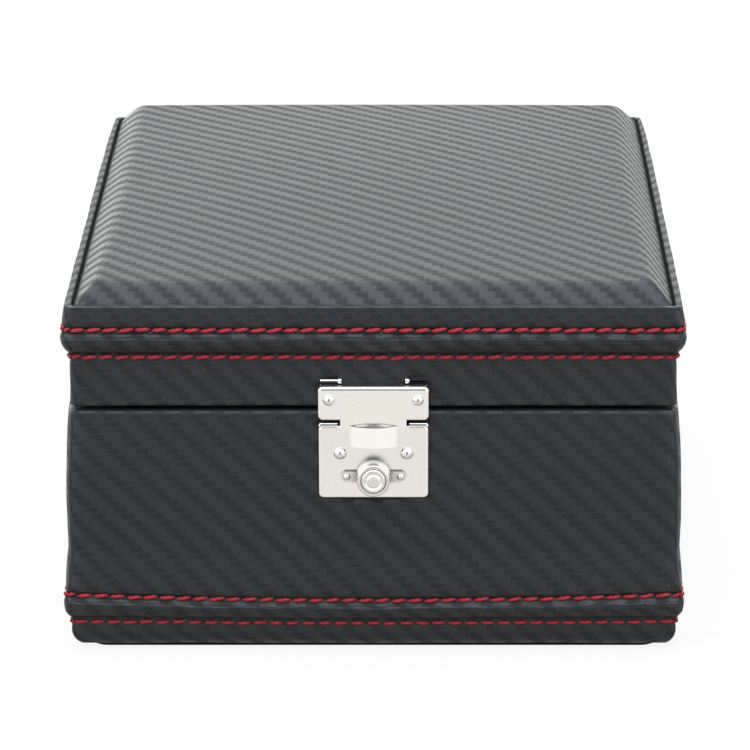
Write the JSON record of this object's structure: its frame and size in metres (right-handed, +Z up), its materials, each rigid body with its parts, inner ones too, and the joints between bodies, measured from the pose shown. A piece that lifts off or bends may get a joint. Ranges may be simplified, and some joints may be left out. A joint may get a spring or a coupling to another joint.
{
  "type": "watch box",
  "caption": "Watch box: padded leatherette case with a carbon-weave press, stitched rolls round lid and base, a hinged pillow lid and a push-button hasp lock over cushioned compartments.",
  "frame": {"origin": "middle of the underside of the felt under the base", "axes": "+Z up, -Y out of the front with the lock, +X to the right seen from the front"},
  "size_m": [0.1714, 0.2154, 0.1088],
  "materials": {
    "carbon_leatherette": "black leatherette pressed with a twill weave, satin",
    "fibreboard": "plain medium-density fibreboard, hidden under the covers",
    "foam": "open-cell padding foam, hidden under the leatherette",
    "black_velvet": "short-pile black velvet",
    "felt": "black pressed felt",
    "nickel": "bright nickel plate",
    "red_thread": "twisted red polyester sewing thread",
    "spring_steel": "plain steel strip"
  },
  "bodies": {
    "base": {"base_front_wall": "fibreboard", "base_back_wall": "fibreboard", "base_left_wall": "fibreboard", "base_right_wall": "fibreboard", "base_floor": "fibreboard", "base_padding": "foam", "base_cover": "carbon_leatherette", "base_pad": "felt", "lining_front": "black_velvet", "lining_back": "black_velvet", "lining_left": "black_velvet", "lining_right": "black_velvet", "floor_lining": "black_velvet", "long_divider": "black_velvet", "cross_divider_front": "black_velvet", "cross_divider_back": "black_velvet", "watch_cushion_1": "black_velvet", "watch_cushion_2": "black_velvet", "watch_cushion_3": "black_velvet", "watch_cushion_4": "black_velvet", "watch_cushion_5": "black_velvet", "watch_cushion_6": "black_velvet", "hinge_base_leaf_left": "nickel", "hinge_base_leaf_right": "nickel", "hinge_pin_left": "nickel", "hinge_pin_right": "nickel", "hinge_base_screws": "nickel", "lock_plate": "nickel", "lock_plate_nails": "nickel", "collar_rivets": "nickel", "button_collar": "nickel", "lock_spring": "spring_steel"},
    "lid": {"lid_front_rail": "fibreboard", "lid_back_rail": "fibreboard", "lid_left_rail": "fibreboard", "lid_right_rail": "fibreboard", "lid_panel": "fibreboard", "lid_roll": "foam", "lid_cover": "carbon_leatherette", "lid_pillow": "carbon_leatherette", "lid_inner_pad": "black_velvet", "hinge_lid_leaf_left": "nickel", "hinge_lid_leaf_right": "nickel", "hinge_lid_screws": "nickel", "hasp_bracket": "nickel", "hasp_bracket_screws": "nickel", "hasp_pins": "nickel"},
    "hasp": {"hasp_flap": "nickel", "hasp_hook": "nickel", "hasp_rivets": "nickel"},
    "button": {"push_button": "nickel"},
    "catch": {"lock_catch": "spring_steel"}
  },
  "joints": [
    {"name": "lid_hinge", "type": "hinge", "parent": "base", "child": "lid", "pos_m": [0, 0.1035, 0.0704], "axis": [-1, 0, 0], "range_deg": [0, 100]},
    {"name": "hasp_hinge", "type": "hinge", "parent": "lid", "child": "hasp", "pos_m": [0, -0.1033, 0.07915], "axis": [-1, 0, 0], "range_deg": [0, 110]},
    {"name": "button_press", "type": "slide", "parent": "base", "child": "button", "axis": [0, 1, 0], "range_m": [0, 0.002], "stiffness_N_per_m": 300, "springref_m": -0.001, "deforming": ["lock_spring"]},
    {"name": "catch_slide", "type": "slide", "parent": "base", "child": "catch", "axis": [0, 0, -1], "range_m": [0, 0.001]}
  ],
  "couplings": [
    {"joint": "catch_slide", "follows": "button_press", "ratio": 0.5}
  ]
}
